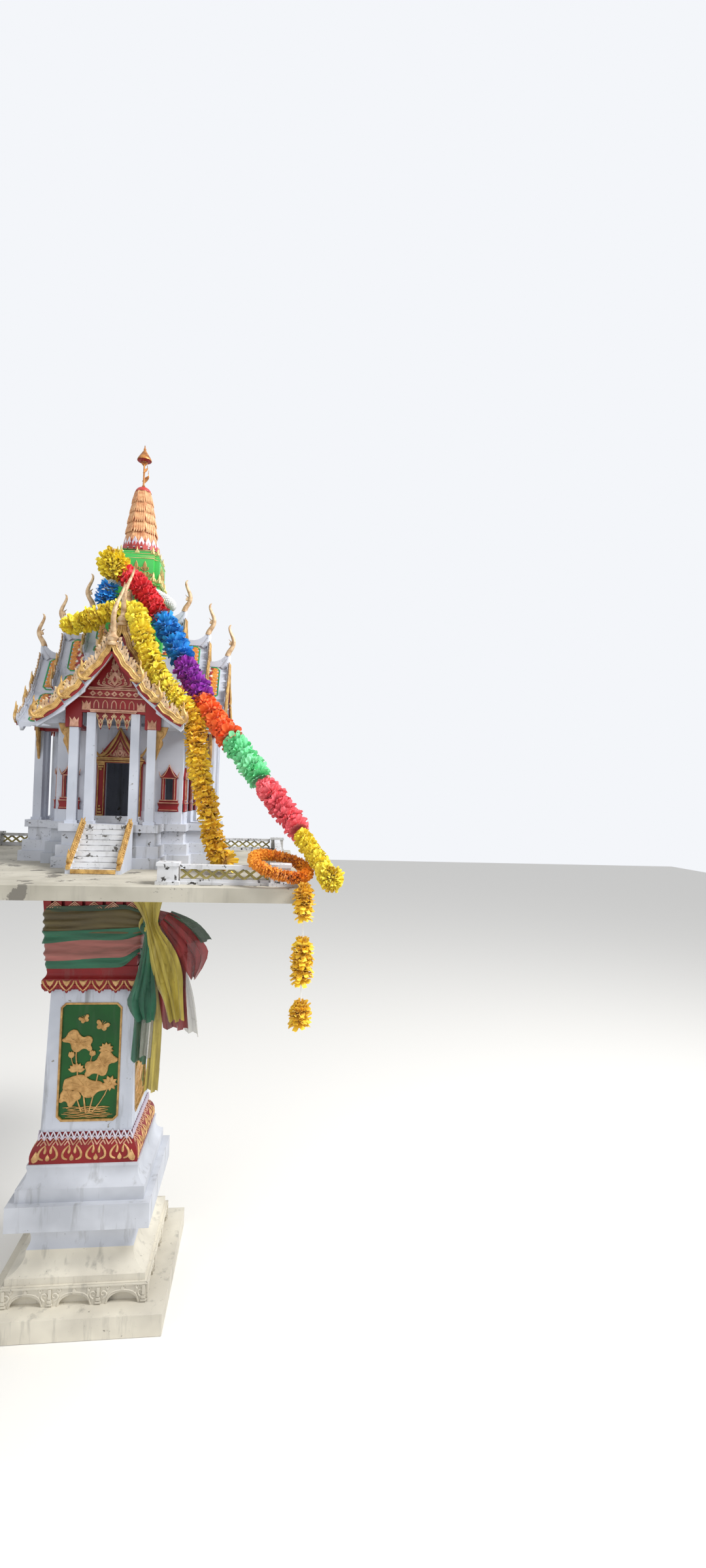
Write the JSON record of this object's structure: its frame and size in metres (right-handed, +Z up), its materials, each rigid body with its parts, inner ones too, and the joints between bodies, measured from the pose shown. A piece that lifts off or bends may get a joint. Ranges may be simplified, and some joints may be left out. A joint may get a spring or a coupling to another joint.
{
  "type": "spirit house",
  "caption": "Carved square pillar on a stepped plinth, carrying a slab with a low balustrade and a cross-shaped shrine with tiered roofs, tower and spire, hung with cloth garlands.",
  "frame": {"origin": "on the ground, under the middle of the pillar and of the slab", "axes": "+Z up, the doorway and its stair face -Y, +X to the right of a viewer who faces the doorway"},
  "size_m": [1.4022, 1.3323, 2.94],
  "materials": {
    "white_paint": "peeling white paint on cast cement",
    "bare_cement": "worn cement with flaking paint",
    "cream_paint": "cream paint, dirty in the hollows",
    "red_paint": "red paint with gilded relief",
    "green_paint": "dark green paint with gilded relief",
    "gold_paint": "gilt paint on cast cement",
    "roof_paint": "painted scale tiles with white borders",
    "tower_paint": "light green paint",
    "spire_paint": "ribbed spire in buff and red",
    "bright_metal": "thin metal pole and umbrella",
    "flower_cloth": "crimped cloth flowers",
    "white_beads": "white threaded beads",
    "sash_cloth": "thin sheer cloth"
  },
  "bodies": {
    "root": {"plinth_base": "cream_paint", "plinth_cap": "cream_paint", "pillar_step": "white_paint", "lotus_foot": "red_paint", "pillar_shaft": "green_paint", "panel_frames": "gold_paint", "capital_fringe": "red_paint", "capital_flare": "red_paint", "table_slab": "bare_cement", "balustrade_posts": "white_paint", "balustrade_rails": "white_paint", "balustrade_lattice": "white_paint", "house_platform": "white_paint", "stair_flight": "white_paint", "stair_cheek_left": "white_paint", "stair_cheek_right": "white_paint", "naga_rail_left": "gold_paint", "naga_rail_right": "gold_paint", "front_wall": "white_paint", "right_wall": "white_paint", "back_wall": "white_paint", "left_wall": "white_paint", "room_floor": "white_paint", "room_ceiling": "white_paint", "door_surround": "red_paint", "door_step": "white_paint", "window_surrounds": "red_paint", "front_porch_columns": "white_paint", "side_porch_columns": "white_paint", "back_porch_columns": "white_paint", "outer_roof": "roof_paint", "middle_roof": "roof_paint", "inner_roof": "roof_paint", "front_gable_wall": "red_paint", "side_gable_walls": "red_paint", "back_gable_wall": "red_paint", "front_bargeboards": "gold_paint", "side_bargeboards": "gold_paint", "back_bargeboards": "gold_paint", "ridge_crests": "white_paint", "roof_horns": "gold_paint", "eave_brackets": "gold_paint", "tower_foot": "tower_paint", "tower_tiers": "tower_paint", "lotus_band": "red_paint", "spire_tiers": "spire_paint", "spire_pole": "bright_metal", "long_garland": "flower_cloth", "short_garland": "flower_cloth", "marigold_ring": "flower_cloth", "hanging_blooms": "flower_cloth", "rope_ring": "white_beads", "sash_wrap": "sash_cloth", "sash_tails": "sash_cloth"}
  },
  "joints": []
}
